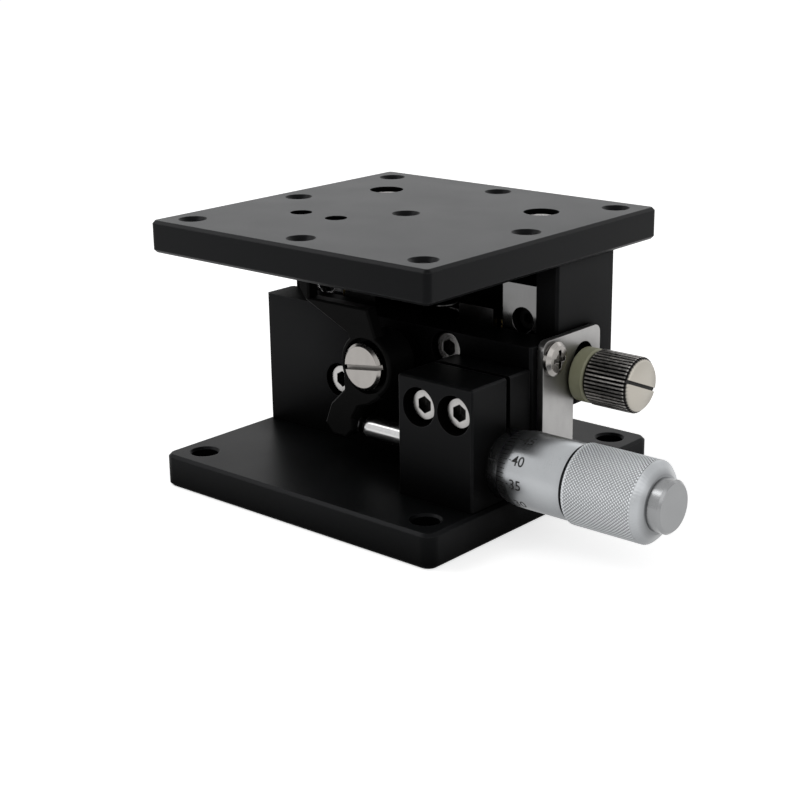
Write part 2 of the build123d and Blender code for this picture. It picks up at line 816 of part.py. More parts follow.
def make_lock_washer():
    """Thick plastic washer between the lock plate and the thumb screw."""
    bore_r = m3[0] / 2 + running_clearance
    end = washer_x + washer_thickness
    profile = [
        (washer_x, bore_r),
        (washer_x, washer_d / 2 - washer_edge),
        (washer_x + washer_edge, washer_d / 2),
        (end - washer_edge, washer_d / 2),
        (end, washer_d / 2 - washer_edge),
        (end, bore_r),
    ]
    return turned(profile, (0, lock_y, lock_z), (1, 0, 0))


def make_lock_knob():
    """Thumb screw with a slotted head."""
    radius = knob_d / 2
    end = knob_x + knob_length
    start = arm_inner_x + tap_runout
    profile = [
        (start, 0),
        (start, m3[0] / 2),
        (knob_x, m3[0] / 2),
        (knob_x, radius - knob_edge / 2),
        (knob_x + knob_edge / 2, radius),
        (end - knob_edge, radius),
        (end, radius - knob_edge),
        (end, 0),
    ]
    knob = turned(profile, (0, lock_y, lock_z), (1, 0, 0))
    slot = Box(2 * knob_slot_depth, 2 * knob_d, knob_slot_width)
    return knob - Pos(end, lock_y, lock_z) * Rot(knob_slot_lean, 0, 0) * slot


def make_spring_pins(wall_y, direction, z):
    """Pins that the springs hook on, pressed in the wall at wall_y."""
    reach = abs(groove_y - wall_y) + spring_pin_d
    start_y = wall_y - direction * spring_pin_grip
    starts = [(side * spring_x, start_y, z) for side in both_sides]
    return [rod(start, (0, direction, 0), spring_pin_grip + reach, spring_pin_d) for start in starts]


def make_springs():
    """Two extension springs that pull the moving block down: a coil with a loop at each end."""
    wire_r = spring_wire_d / 2
    coil_r = spring_d / 2 - wire_r
    loop_r = spring_pin_d / 2 + wire_r + seat_clearance
    pin_distance = spring_high_pin_z - spring_low_pin_z
    coil_length = pin_distance - 4 * loop_r
    path = Helix(pitch=coil_length / spring_turns, height=coil_length, radius=coil_r)
    section = Plane(origin=path @ 0, z_dir=path % 0) * Circle(wire_r)
    spring = Pos(0, 0, 2 * loop_r) * sweep(section, path=path)
    for pin_z, toward in ((0, 1), (pin_distance, -1)):
        spring += Plane(origin=(0, 0, pin_z), z_dir=(0, 1, 0)) * Torus(loop_r, wire_r)
        spring += rod((0, 0, pin_z + toward * loop_r), (0, 0, toward), loop_r + wire_r, spring_wire_d)
        reach = coil_r + spring_hook_share * wire_r
        hook_d = spring_hook_share * spring_wire_d
        spring += rod((0, 0, pin_z + toward * 2 * loop_r), (1, 0, 0), reach, hook_d)
    return [Pos(side * spring_x, groove_y, spring_low_pin_z) * spring for side in both_sides]


def save(name, shapes):
    """Write one sub-part to its own file; several solids become one group."""
    if isinstance(shapes, list):
        shape = Compound(children=[s for part in shapes for s in part.solids()])
    else:
        shape = Compound(children=shapes.solids())
    shape.label = name
    export_step(shape, f"parts/{name}.step")


save("base_plate", make_base_plate())
save("base_screws", make_base_screws())
save("fixed_column", make_column())
save("fixed_rails", make_fixed_rails())
save("fixed_rail_screws", make_fixed_rail_screws())
save("moving_rails", make_moving_rails())
save("moving_rail_screws", make_moving_rail_screws())
save("rollers", make_rollers())
save("roller_cages", make_cages())
save("moving_block", make_moving_block())
save("top_plate", make_top_plate())
save("top_plate_screws", make_top_screws())
save("contact_pad", make_contact_pad())
save("contact_pad_screws", make_pad_screws())
save("lever", make_lever())
save("lever_bush", make_lever_bush())
save("lever_pivot_screw", make_pivot_screw())
save("lever_tip_ball", make_tip_ball())
save("lever_foot_button", make_foot_button())
save("micrometer_bracket", make_bracket())
save("bracket_screws", make_bracket_screws())
save("micrometer_sleeve", make_sleeve())
save("micrometer_spindle", make_spindle())
save("micrometer_thimble", make_thimble())
save("thimble_end_cap", make_end_cap())
save("lock_plate", make_lock_plate())
save("lock_plate_screws", make_lock_plate_screws())
save("lock_washer", make_lock_washer())
save("lock_thumb_screw", make_lock_knob())
save("lower_spring_pins", make_spring_pins(column_back_y, 1, spring_low_pin_z))
save("upper_spring_pins", make_spring_pins(web_front_y, -1, spring_high_pin_z))
save("return_springs", make_springs())
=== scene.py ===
import math
import bmesh
import bpy
import numpy as np
from mathutils import Matrix, Vector

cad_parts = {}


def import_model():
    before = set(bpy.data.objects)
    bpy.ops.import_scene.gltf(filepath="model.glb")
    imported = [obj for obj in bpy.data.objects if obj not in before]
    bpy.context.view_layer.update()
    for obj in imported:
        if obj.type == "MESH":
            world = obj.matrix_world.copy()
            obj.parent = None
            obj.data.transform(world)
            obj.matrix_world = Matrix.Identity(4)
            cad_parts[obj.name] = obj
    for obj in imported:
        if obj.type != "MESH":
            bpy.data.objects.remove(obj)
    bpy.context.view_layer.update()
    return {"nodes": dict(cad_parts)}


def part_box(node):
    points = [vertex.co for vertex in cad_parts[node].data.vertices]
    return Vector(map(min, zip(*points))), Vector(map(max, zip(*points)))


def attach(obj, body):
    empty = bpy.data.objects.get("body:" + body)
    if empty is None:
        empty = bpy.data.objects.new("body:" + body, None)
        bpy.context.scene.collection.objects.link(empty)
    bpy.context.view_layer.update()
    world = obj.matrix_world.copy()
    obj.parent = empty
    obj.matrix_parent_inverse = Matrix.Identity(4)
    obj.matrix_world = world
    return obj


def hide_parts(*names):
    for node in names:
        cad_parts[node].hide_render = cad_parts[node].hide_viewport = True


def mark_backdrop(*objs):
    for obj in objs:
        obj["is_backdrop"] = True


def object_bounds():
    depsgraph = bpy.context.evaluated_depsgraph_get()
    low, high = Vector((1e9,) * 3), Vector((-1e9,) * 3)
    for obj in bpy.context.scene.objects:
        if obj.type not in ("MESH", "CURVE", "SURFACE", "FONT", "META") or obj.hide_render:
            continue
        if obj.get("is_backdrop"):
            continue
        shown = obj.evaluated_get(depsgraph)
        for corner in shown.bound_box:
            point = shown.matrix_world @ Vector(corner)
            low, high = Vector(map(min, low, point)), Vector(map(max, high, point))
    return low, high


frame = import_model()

# Vertical translation stage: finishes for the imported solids, and the fine surfaces that they lack.
# Every length is in metres; a number times MM is in millimetres.
MM = 0.001
TURN = 2 * math.pi


# Shader nodes

class Wire:
    """One output of a material's nodes; arithmetic on it adds the Math nodes that work it out."""

    def __init__(self, finish, socket):
        self.finish = finish
        self.socket = socket

    def math(self, operation, first, second):
        return self.finish.node("ShaderNodeMath", {"operation": operation}, {0: first, 1: second})

    def __add__(self, other):
        return self.math("ADD", self, other)

    def __radd__(self, other):
        return self.math("ADD", other, self)

    def __sub__(self, other):
        return self.math("SUBTRACT", self, other)

    def __rsub__(self, other):
        return self.math("SUBTRACT", other, self)

    def __mul__(self, other):
        return self.math("MULTIPLY", self, other)

    def __rmul__(self, other):
        return self.math("MULTIPLY", other, self)


class Finish:
    """A node material that is being put together."""

    def __init__(self, tree):
        self.tree = tree
        self.tree.nodes.clear()

    def node(self, kind, settings=None, inputs=None, output=0):
        """Add a node: its settings first, a ramp's stops among them, then its sockets."""
        made = self.tree.nodes.new(kind)
        for key, value in (settings or {}).items():
            if key == "stops":
                for end, (position, level) in zip(made.color_ramp.elements, value):
                    end.position, end.color = position, (level, level, level, 1)
            else:
                setattr(made, key, value)
        for key, value in (inputs or {}).items():
            if isinstance(value, Wire):
                self.tree.links.new(value.socket, made.inputs[key])
            else:
                made.inputs[key].default_value = value
        return Wire(self, made.outputs[output]) if made.outputs else None

    def place(self):
        """Object coordinates, which are the drawing's own, in metres."""
        return self.node("ShaderNodeTexCoord", output="Object")

    def facing(self):
        """The face's own normal."""
        return self.node("ShaderNodeNewGeometry", output="Normal")

    def part(self, vector, axis):
        return self.node("ShaderNodeSeparateXYZ", inputs={0: vector}, output=axis)

    def vector(self, operation, first, second, output="Vector"):
        sockets = {0: first, 1: second}
        return self.node("ShaderNodeVectorMath", {"operation": operation}, sockets, output)

    def off_axis(self, point, across):
        """The distance from an axis through point: across is 0 along the axis and 1 elsewhere."""
        flat = self.vector("MULTIPLY", self.vector("SUBTRACT", self.place(), point), across)
        return self.node("ShaderNodeVectorMath", {"operation": "LENGTH"}, {0: flat}, "Value")

    def noise(self, size, detail, stretch=(1, 1, 1)):
        """Cloudy noise with features about size metres across, longer along an axis by stretch."""
        scale = tuple(1 / (size * factor) for factor in stretch)
        spot = self.node("ShaderNodeMapping", inputs={"Vector": self.place(), "Scale": scale})
        sockets = {"Vector": spot, "Scale": 1.0, "Detail": detail, "Roughness": 0.5}
        return self.node("ShaderNodeTexNoise", inputs=sockets, output="Fac")

    def ramp(self, value, first, last):
        """A level between two stops, each of them a value and its level, and flat beyond them."""
        return self.node("ShaderNodeValToRGB", {"stops": (first, last)}, {"Fac": value})

    def rise(self, value, start, end):
        """0 below start and 1 above end."""
        return self.ramp(value, (start, 0.0), (end, 1.0))

    def fall(self, value, start, end):
        """1 below start and 0 above end."""
        return self.ramp(value, (start, 1.0), (end, 0.0))

    def mix(self, mask, first, second):
        """Colour first where the mask is 0 and second where it is 1."""
        sockets = {0: mask, 6: first, 7: second}
        return self.node("ShaderNodeMix", {"data_type": "RGBA"}, sockets, output=2)

    def rounded(self, radius):
        """Normals that are rounded over a radius at the edges."""
        return self.node("ShaderNodeBevel", {"samples": 6}, {"Radius": radius})

    def edges(self, radius, gain):
        """0 on a flat face, rising to 1 at sharp edges: how far the rounded normal leans there."""
        same = self.vector("DOT_PRODUCT", self.rounded(radius), self.facing(), "Value")
        return self.rise((1 - same) * gain, 0.0, 1.0)

    def bump(self, height, depth, strength, radius=0.0):
        """Bump of a height map, on normals that are rounded over a radius at the edges."""
        sockets = {"Height": height, "Distance": depth, "Strength": strength}
        if radius:
            sockets["Normal"] = self.rounded(radius)
        return self.node("ShaderNodeBump", inputs=sockets)

    def sheltered(self, reach, start):
        """0 on an open face, rising to 1 where faces nearer than reach close it in.

        The rise begins where the open share of all that the face looks out to falls to start, and
        ends span below that. The finishes paint shade by this mask.
        """
        span = 0.42
        sockets = {"Distance": reach}
        share = self.node("ShaderNodeAmbientOcclusion", {"samples": 8}, sockets, output="AO")
        return self.fall(share, start - span, start)

    def principled(self, **sockets):
        named = {key.replace("_", " "): value for key, value in sockets.items()}
        return self.node("ShaderNodeBsdfPrincipled", inputs=named)

    def blend(self, mask, first, second):
        """The output: shader first where the mask is 0 and second where it is 1."""
        mixed = self.node("ShaderNodeMixShader", inputs={0: mask, 1: first, 2: second})
        self.node("ShaderNodeOutputMaterial", inputs={"Surface": mixed})

    def surface(self, **sockets):
        self.node("ShaderNodeOutputMaterial", inputs={"Surface": self.principled(**sockets)})


def new_finish(name):
    material = bpy.data.materials.new(name)
    material.use_nodes = True
    return material, Finish(material.node_tree)


def grey(value, warmth=0.0):
    """A grey, warmer where warmth is above 0 and cooler below."""
    return (value * (1 + warmth), value, value * (1 - warmth), 1)


def mottled(f, mask, shade, dark, light, warmth=0.0):
    """A grey that wanders with the mask, from dark times the shade to light times it."""
    return f.mix(mask, grey(shade * dark, warmth), grey(shade * light, warmth))


def anodised(name, shade, roughness, grain, specular, shade_reach, start, top_sheen=0.0):
    """Black anodised aluminium: a blasted grain, clouds, specks of dust and rubbed lighter edges.

    Faces that others close in, nearer than the given reach, get painted shade, near-black and less
    shiny: start is the open share at which that begins. Faces that look up get a painted sheen,
    lighter by the given amount.
    """
    worn, dust, pale, painted_shade_black = 0.06, 0.03, 0.1, 0.001
    material, f = new_finish(name)
    cloud = f.noise(9 * MM, detail=4)
    fine = f.noise(grain, detail=2)
    patchy = f.ramp(f.noise(1.2 * MM, detail=5), (0.3, 0.25), (0.7, 1.0))
    rubbed = f.edges(radius=0.35 * MM, gain=3.0) * patchy
    speck = f.rise(f.noise(0.11 * MM, detail=1), 0.70, 0.80)
    base = f.mix(cloud, grey(shade * 0.75, -0.04), grey(shade * 1.3, -0.08))
    dusty = f.mix(speck * 0.35, base, grey(dust))
    # Painted sheen: faces that look up are made lighter.
    upward_sheen = f.rise(f.part(f.facing(), "Z"), 0.9, 1.0)
    lighter = f.mix(upward_sheen * (top_sheen / pale), dusty, grey(pale, -0.03))
    colour = f.mix(rubbed, lighter, grey(worn, -0.02))
    gloss = roughness + 0.10 * (cloud - 0.5) + 0.10 * (fine - 0.5) - 0.08 * rubbed
    relief = f.bump(fine, depth=0.02 * MM, strength=0.30, radius=0.25 * MM)
    shine = {"Specular_IOR_Level": specular, "Specular_Tint": (0.95, 0.95, 1.0, 1)}
    dull = {"Specular_IOR_Level": 0.01, "Roughness": 0.6}
    open_face = f.principled(Base_Color=colour, Roughness=gloss, Normal=relief, **shine)
    # Painted shade: a near-black, duller face where others close this one in.
    deep = f.principled(Base_Color=grey(painted_shade_black), Normal=relief, **dull)
    f.blend(f.sheltered(shade_reach, start), open_face, deep)
    return material


def ground_metal(name, shade, roughness, stretch, left=0.0):
    """Ground, turned or drawn metal: fine lines, long by stretch, and duller worn patches.

    Where left isn't 0, it is the shade at the stage's left side, which the photo shows brighter:
    a painted reflection.
    """
    material, f = new_finish(name)
    lines = f.noise(0.10 * MM, detail=3, stretch=stretch)
    patch = f.noise(4 * MM, detail=4)
    tone = mottled(f, lines, shade, 0.78, 1.15)
    colour = f.mix(0.35 * patch, tone, grey(shade * 0.7, 0.03))
    # Painted reflection: the stage's left side gets its own, brighter shade.
    if left:
        right_side = f.rise(f.part(f.place(), "X") * (1 / MM), 0.0, 1.0)
        colour = f.mix(right_side, mottled(f, lines, left, 0.95, 1.0), colour)
    gloss = roughness + 0.18 * (lines - 0.5) + 0.16 * (patch - 0.5)
    relief = f.bump(lines, depth=0.004 * MM, strength=0.6, radius=0.12 * MM)
    f.surface(Base_Color=colour, Metallic=1.0, Roughness=gloss, Normal=relief)
    return material


def axis_distance(f, centre):
    """The distance from an axis along X that runs through the centre's y and z."""
    return f.off_axis((0, *centre), (0, 1, 1))


screw_head_r = 2.75 * MM
socket_reach = 1.5 * MM
socket_top = 0.04
socket_shade_depth = 0.22


def socket_mask(f, node_name, inwards):
    """1 in the sockets of a node's M3 cap screws, 0 outside; inwards is the way the screws go in.

    The screws stand in corners of the node's box, half a head from its sides. The mask of painted
    shade rises between two depths below the heads' tops, in millimetres.
    """
    low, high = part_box(node_name)
    way = Vector(inwards)
    across = [0 if part else 1 for part in inwards]
    top = min(way.dot(low), way.dot(high))
    sides = [(low[k] + screw_head_r, high[k] - screw_head_r) for k in range(3)]
    nearest = 1.0
    for corner in ((0, 0, 0), (1, 1, 1), (1, 0, 0), (0, 1, 1)):
        away = f.off_axis([sides[k][corner[k]] for k in range(3)], across)
        nearest = away.math("MINIMUM", away, nearest)
    near = f.fall(nearest * (1 / socket_reach), 0.97, 1.0)
    depth = f.vector("DOT_PRODUCT", f.place(), way, "Value")
    return near * f.rise((depth - top) * (1 / MM), socket_top, socket_shade_depth)


def plated(name, shade, roughness, warmth, sockets=None):
    """Nickel plate: bright, with soft smears, a few fine pits, painted highlights on its rims and
    painted shade where it is closed in.

    Sockets is a node's name and the way its screws go in: their sockets get painted shade.
    """
    material, f = new_finish(name)
    smears = f.noise(1.6 * MM, detail=5, stretch=(1, 1, 2.5))
    pits = f.rise(f.noise(0.08 * MM, detail=1), 0.66, 0.78)
    tone = mottled(f, smears, shade, 0.82, 1.1, warmth)
    colour = f.mix(pits * 0.5, tone, grey(shade * 0.45, warmth))
    # Painted highlight: lighter rims at the edges.
    rim_highlight = f.edges(radius=0.15 * MM, gain=2.0)
    rim_highlighted = f.mix(rim_highlight * 0.6, colour, grey(min(0.95, shade * 1.3), warmth))
    # Painted shade where other faces close the plate in.
    closed_in_shade = f.sheltered(reach=4 * MM, start=0.95)
    lit = f.mix(closed_in_shade * 0.6, rim_highlighted, grey(shade * 0.12, warmth))
    # Painted shade in the screws' sockets.
    if sockets:
        lit = f.mix(socket_mask(f, *sockets) * 0.93, lit, grey(shade * 0.10, warmth))
    gloss = roughness + 0.12 * (smears - 0.5) + 0.2 * pits
    relief = f.bump(smears, depth=0.01 * MM, strength=0.3, radius=0.12 * MM)
    f.surface(Base_Color=lit, Metallic=1.0, Roughness=gloss, Normal=relief)
    return material


def chrome_grain(f, roughness):
    """Satin chrome's mottle, gloss and height: a blasted grain, clouds and faint turning marks."""
    grain = f.noise(0.06 * MM, detail=2)
    rings = f.noise(0.05 * MM, detail=2, stretch=(1, 60, 60))
    cloud = f.noise(3 * MM, detail=4)
    gloss = roughness + 0.12 * (grain - 0.5) + 0.08 * (cloud - 0.5)
    return 0.5 * grain + 0.5 * cloud, gloss, 0.6 * grain + 0.4 * rings


def satin_plate(name, shade, roughness):
    """Satin chrome, as on the micrometer's plain parts."""
    material, f = new_finish(name)
    mottle, gloss, height = chrome_grain(f, roughness)
    colour = mottled(f, mottle, shade, 0.86, 1.12, -0.015)
    relief = f.bump(height, depth=0.006 * MM, strength=0.5, radius=0.10 * MM)
    f.surface(Base_Color=colour, Metallic=1.0, Roughness=gloss, Normal=relief)
    return material


def knurled_chrome(name, shade, grip_shade, roughness):
    """Satin chrome with painted shade in its knurl's valleys, its groove and its end face."""
    valley_shade, groove_shade, shadow = grey(0.05, 0.02), grey(0.03), grey(0.10, -0.02)
    material, f = new_finish(name)
    mottle, gloss, height = chrome_grain(f, roughness)
    radius = axis_distance(f, mic_centre)
    along = f.part(f.place(), "X")

    def behind(x, start, end):
        """0 to 1 between two places, in millimetres behind x."""
        return f.rise((along - x) * (1 / MM), start, end)

    def before(x, start, end):
        """0 to 1 between two places, in millimetres before x."""
        return f.rise((x - along) * (1 / MM), start, end)

    gripped = behind(knurl_start_x, 0.0, 0.3) * before(knurl_end_x - knurl_rim, 0.0, 0.2)
    # Painted shade in the knurl's valleys.
    valley = f.rise((knurl_r - radius) * (1 / knurl_depth), 0.12, 0.85) * gripped
    # Painted shade in the groove between the band and the knurl.
    low = f.fall((radius - groove_r) * (1 / MM), 0.05, 0.25)
    reach = 0.1 * MM
    groove = low * behind(band_end_x - reach, 0.0, 0.05) * before(knurl_start_x + reach, 0.0, 0.05)
    # Painted shade on the end face behind the knurl.
    end_face_shade = behind(knurl_end_x, 0.05, 0.15) * f.fall(radius * (1 / knurl_r), 0.70, 0.86)
    smooth = mottled(f, mottle, shade, 0.86, 1.12, -0.03)
    grip = mottled(f, mottle, grip_shade, 0.86, 1.12, -0.03)
    valley_shaded = f.mix(valley * 0.62, f.mix(gripped, smooth, grip), valley_shade)
    grooved = f.mix(groove * 0.9, valley_shaded, groove_shade)
    faced = f.mix(end_face_shade * 0.55, grooved, grey(0.12, -0.02))
    # Painted shadow where other faces close the thimble in.
    colour = f.mix(f.sheltered(reach=16 * MM, start=0.93) * 0.5, faced, shadow)
    relief = f.bump(height, depth=0.006 * MM, strength=0.5, radius=0.05 * MM)
    f.surface(Base_Color=colour, Metallic=1.0, Roughness=gloss + 0.15 * valley, Normal=relief)
    return material


def blackened_steel(name, shade, roughness, specular):
    """Black oxide on steel: dark, a little glossy, with brown-grey rubbed edges and painted shade.
    """
    material, f = new_finish(name)
    cloud = f.noise(2.5 * MM, detail=5)
    lines = f.noise(0.12 * MM, detail=3, stretch=(14, 1, 1))
    patchy = f.ramp(f.noise(0.8 * MM, detail=5), (0.35, 0.2), (0.7, 1.0))
    rubbed = f.edges(radius=0.25 * MM, gain=2.5) * patchy
    colour = f.mix(cloud, grey(shade * 0.7), grey(shade * 1.4, 0.03))
    worn = f.mix(rubbed, colour, grey(0.04, 0.04))
    gloss = roughness + 0.15 * (cloud - 0.5) + 0.1 * (lines - 0.5)
    relief = f.bump(lines, depth=0.008 * MM, strength=0.4, radius=0.2 * MM)
    shine = {"Specular_IOR_Level": specular, "Roughness": gloss}
    dull = {"Specular_IOR_Level": 0.05, "Roughness": 0.5}
    open_face = f.principled(Base_Color=worn, Normal=relief, **shine)
    # Painted shade: a near-black, duller face where others close this one in.
    deep = f.principled(Base_Color=grey(0.003), Normal=relief, **dull)
    f.blend(f.sheltered(reach=26 * MM, start=0.93), open_face, deep)
    return material


def nylon(name):
    """Ivory nylon: turned, a little waxy and soiled at the rims."""
    ivory, light_ivory, soil = (0.25, 0.25, 0.16, 1), (0.33, 0.33, 0.22, 1), (0.17, 0.16, 0.10, 1)
    material, f = new_finish(name)
    rings = f.noise(0.10 * MM, detail=2, stretch=(1, 30, 30))
    cloud = f.noise(1.5 * MM, detail=4)
    clean = f.mix(cloud, ivory, light_ivory)
    colour = f.mix(f.edges(radius=0.3 * MM, gain=2.0) * 0.5, clean, soil)
    gloss = 0.45 + 0.15 * (cloud - 0.5)
    relief = f.bump(rings, depth=0.01 * MM, strength=0.4, radius=0.15 * MM)
    f.surface(Base_Color=colour, Roughness=gloss, Specular_IOR_Level=0.4, Normal=relief)
    return material


def turned_brass(name):
    """Brass strip and bronze bush: warm yellow metal with fine lines and dull spots."""
    brass, light_brass = (0.58, 0.42, 0.17, 1), (0.74, 0.56, 0.27, 1)
    tarnish = (0.30, 0.20, 0.09, 1)
    material, f = new_finish(name)
    lines = f.noise(0.08 * MM, detail=3, stretch=(1, 1, 16))
    spots = f.noise(1.1 * MM, detail=5)
    bright = f.mix(lines, brass, light_brass)
    colour = f.mix(f.ramp(spots, (0.45, 0.0), (0.75, 0.8)), bright, tarnish)
    gloss = 0.30 + 0.2 * (spots - 0.5)
    relief = f.bump(lines, depth=0.004 * MM, strength=0.5, radius=0.1 * MM)
    f.surface(Base_Color=colour, Metallic=1.0, Roughness=gloss, Normal=relief)
    return material


def filled_ink(name):
    """Black paint in the engraved marks, worn thin in places."""
    material, f = new_finish(name)
    thin = f.rise(f.noise(0.22 * MM, detail=4), 0.42, 0.72)
    colour = f.mix(thin * 0.5, grey(0.015), grey(0.10))
    relief = f.bump(thin, depth=0.004 * MM, strength=0.4)
    gloss = 0.5 + 0.2 * thin
    f.surface(Base_Color=colour, Roughness=gloss, Specular_IOR_Level=0.3, Normal=relief)
    return material


def knurled_nickel(name):
    """The thumb screw's nickel: highlights and shade painted on its teeth, clean on its end face."""
    valley_shade, crest_highlight, clean = grey(0.012, 0.03), grey(0.50, 0.04), (0.44, 0.415, 0.37, 1)
    material, f = new_finish(name)
    height = (axis_distance(f, knob_centre) - knob_valley_r) * (1 / (knob_r - knob_valley_r))
    along = f.noise(0.5 * MM, detail=4, stretch=(2.5, 1, 1))
    broken = f.noise(0.9 * MM, detail=3, stretch=(0.35, 1, 1))
    # Painted highlight streaks along the teeth, painted shade between them.
    highlight_streaks = f.rise(height * (0.35 + 0.7 * along + 0.45 * broken), 0.55, 1.0)
    face_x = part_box("lock_thumb_screw")[1].x - 0.5 * MM
    face = f.rise((f.part(f.place(), "X") - face_x) * (1 / MM), 0.0, 0.2)
    colour = f.mix(face, f.mix(highlight_streaks, valley_shade, crest_highlight), clean)
    gloss = 0.42 - 0.12 * highlight_streaks + 0.1 * (along - 0.5)
    relief = f.bump(along, depth=0.012 * MM, strength=0.4)
    f.surface(Base_Color=colour, Metallic=1.0, Roughness=gloss, Normal=relief)
    return material


# Meshes from grids

def grid_faces(rows, columns, close_rows):
    """Quads between neighbours of a grid of points, whose rows are rings.

    The last row joins the first where close_rows asks for it.
    """
    index = np.arange(rows * columns).reshape(rows, columns)
    index = np.hstack([index, index[:, :1]])
    if close_rows:
        index = np.vstack([index, index[:1]])
    corners = (index[:-1, :-1], index[:-1, 1:], index[1:, 1:], index[1:, :-1])
    return np.stack(corners, axis=-1).reshape(-1, 4)


def repeated(faces, count, points):
    """The faces of several like meshes in one, each with so many points."""
    return (faces[None] + np.arange(count)[:, None, None] * points).reshape(-1, 4)


def bar_faces(count, stations):
    """The faces of closed bars, each with four corners at every one of its stations."""
    points = 4 * stations
    caps = np.array([[0, 1, 2, 3], [points - 1, points - 2, points - 3, points - 4]])
    return repeated(np.vstack([grid_faces(stations, 4, close_rows=False), caps]), count, points)


def new_piece(name, points, faces, body, material, sharp=30.0):
    """An object at the origin from points and faces, riding on a body."""
    mesh = bpy.data.meshes.new(name)
    mesh.from_pydata(points.reshape(-1, 3).tolist(), [], faces.tolist())
    mesh.validate()
    mesh.shade_smooth()
    mesh.set_sharp_from_angle(angle=math.radians(sharp))
    piece = bpy.data.objects.new(name, mesh)
    bpy.context.scene.collection.objects.link(piece)
    mesh.materials.append(material)
    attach(piece, body)
    return piece


def about_x(x, radius, angle, centre):
    """Points at a radius round an axis along X: the angle starts at -Y and turns up towards +Z."""
    y = centre[0] - radius * np.cos(angle)
    z = centre[1] + radius * np.sin(angle)
    return np.stack(np.broadcast_arrays(x, y, z), axis=-1)


def turned(front, ridged_x, ridged_r, back, angle, drop, centre):
    """Points of a turned shape round an axis along X: a row for each x and a column for each angle.

    Front and back are the plain parts of its profile, as pairs of x and radius. Between them the
    radius is ridged_r less the drop.
    """
    middle = np.column_stack([ridged_x, np.full(ridged_x.size, ridged_r)])
    x, r = np.vstack([front, middle, back]).T
    radius = np.repeat(r[:, None], angle.size, axis=1)
    radius[len(front):len(front) + ridged_x.size] -= drop
    return about_x(x[:, None], radius, -angle[None, :], centre)


def wave(phase):
    """A triangle wave: 0 at whole numbers and 1 halfway between them."""
    return 1 - np.abs(2 * (phase % 1.0) - 1)


# Micrometer thimble

thimble_low, thimble_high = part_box("micrometer_thimble")
mic_centre = ((thimble_low.y + thimble_high.y) / 2, (thimble_low.z + thimble_high.z) / 2)
knurl_r = (thimble_high.y - thimble_low.y) / 2
edge_x = thimble_low.x
thimble_end_x = thimble_high.x
bevel_length = 2.1 * MM
band_r = 6.1 * MM
bevel_r = band_r - 0.35 * MM
bore_r = band_r - 0.45 * MM
band_end_x = edge_x + 12.0 * MM
knurl_start_x = band_end_x + 0.5 * MM
knurl_end_x = thimble_end_x - 0.8 * MM
groove_r = band_r - 0.4 * MM
thimble_face_r = 4.6 * MM
thimble_hole_r = 2.52 * MM
diamonds_round = 70
diamonds_along = 20
steps_per_diamond = 6
knurl_depth = 0.17 * MM
knurl_rim = 0.5 * MM
knurl_lead = 0.2 * MM
knurl_lead_drop = 0.25 * MM
crest_gain = 1.45
fade_gain = 1.5
least_cut = 0.35
lip = 0.02 * MM
lip_rise = 0.01 * MM
face_ease = 0.05 * MM
band_ease = 0.06 * MM


def make_thimble(material):
    """The thimble as a ring of revolution with a diamond knurl cut in its grip.

    A point is (x, radius, angle). The radius follows the turned profile, and in the grip it drops
    by the depth times one minus the lower of two triangle waves, one that runs with the sum of the
    turns along and round, and one with their difference, cut off flat near their tops. The drop
    fades to its least share at the grip's ends.
    """
    columns = diamonds_round * steps_per_diamond
    angle = np.arange(columns) / columns * TURN
    bevel_end_x = edge_x + bevel_length
    front = [
        (edge_x, bore_r), (edge_x, bevel_r), (edge_x + lip, bevel_r + lip_rise),
        (bevel_end_x, band_r), (bevel_end_x + face_ease, band_r),
        (band_end_x - band_ease, band_r), (band_end_x, band_r - band_ease),
        (band_end_x, groove_r), (knurl_start_x, groove_r),
        (knurl_start_x, knurl_r - knurl_lead_drop),
    ]
    back = [
        (knurl_end_x, knurl_r - knurl_rim),
        (thimble_end_x - face_ease, thimble_face_r + face_ease), (thimble_end_x, thimble_face_r),
        (thimble_end_x, thimble_hole_r), (knurl_end_x, thimble_hole_r),
        (knurl_end_x, bore_r), (band_end_x, bore_r),
    ]
    steps = diamonds_along * steps_per_diamond
    grip_x = np.linspace(knurl_start_x + knurl_lead, knurl_end_x - knurl_rim, steps + 1)
    along = np.arange(grip_x.size)[:, None] / steps_per_diamond
    turn = angle[None, :] / TURN * diamonds_round
    height = np.minimum(wave(along + turn), wave(along - turn))
    height = np.minimum(1.0, crest_gain * height)
    ends = np.minimum(1.0, np.minimum(along, diamonds_along - along) * fade_gain)
    drop = knurl_depth * (1 - height) * (least_cut + (1 - least_cut) * ends)
    points = turned(front, grip_x, knurl_r, back, angle, drop, mic_centre)
    faces = grid_faces(len(points), columns, close_rows=True)
    return new_piece("thimble_knurled", points, faces, "thimble", material, sharp=50.0)


mark_root = -0.03 * MM
line_half_width = 0.06 * MM
line_proud = 0.008 * MM
line_start = 0.06 * MM
long_line = 2.5 * MM
short_line = 1.55 * MM
line_shares = np.array([0.0, 0.5, 0.85, 1.0])


def strips(name, x_stations, angles, half_width, radius_of, proud, body, material):
    """Thin raised strips along X: one for each angle, following the radius at its stations.

    A strip's section is a flat box: its corners are the angle plus or minus the half width as
    seen at the thimble's band, at the surface's radius less a little and at it plus proud.
    """
    count, stations = x_stations.shape
    side = np.array([-1, 1, 1, -1]) * half_width
    x = x_stations[:, :, None] + np.zeros(4)
    radius = radius_of(x) + np.array([mark_root, mark_root, proud, proud])
    points = about_x(x, radius, angles[:, None, None] + side / band_r, mic_centre)
    return new_piece(name, points, bar_faces(count, stations), body, material)


divisions = 50
divisions_per_number = 5
first_number = 35
first_number_angle = math.radians(-6.0)


